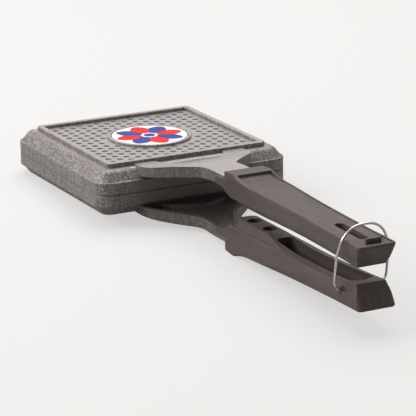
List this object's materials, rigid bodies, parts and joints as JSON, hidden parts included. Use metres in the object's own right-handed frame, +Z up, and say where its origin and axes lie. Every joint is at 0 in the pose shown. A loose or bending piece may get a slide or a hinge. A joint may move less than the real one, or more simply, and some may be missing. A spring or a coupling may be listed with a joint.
{
  "type": "pie iron",
  "caption": "Square stovetop pie iron: two hinged cast plates with a dented panel and round badge, waisted brackets, moulded handles and a wire bail that locks them.",
  "frame": {"origin": "centre of the lower plate's flat burner face", "axes": "+X from the plates towards the handle ends, +Y along the hinge pin, +Z up, square to the parting plane"},
  "size_m": [0.3895, 0.144, 0.0573],
  "materials": {
    "cast_plate": "dark nonstick speckle coating over cast aluminium, satin",
    "handle": "dark brown-grey phenolic moulding, satin",
    "badge": "gloss print, red and blue on white",
    "fastener": "zinc plated",
    "wire": "bright drawn wire"
  },
  "bodies": {
    "lower_half": {"lower_plate": "cast_plate", "lower_handle": "handle", "lower_handle_screws": "fastener", "lower_handle_washers": "fastener", "hinge_pin": "fastener", "hinge_clip": "fastener"},
    "upper_half": {"upper_plate": "cast_plate", "badge": "badge", "upper_handle": "handle", "upper_handle_screws": "fastener", "upper_handle_washers": "fastener"},
    "bail_wire": {"bail": "wire"}
  },
  "joints": [
    {"name": "open_iron", "type": "hinge", "parent": "lower_half", "child": "upper_half", "pos_m": [-0.078, 0, 0.0155], "axis": [0, -1, 0], "range_deg": [0, 120]},
    {"name": "bail_swing", "type": "hinge", "parent": "lower_half", "child": "bail_wire", "pos_m": [0.2855, 0, 0.00323], "axis": [0, 1, 0], "range_deg": [0, 168]}
  ]
}
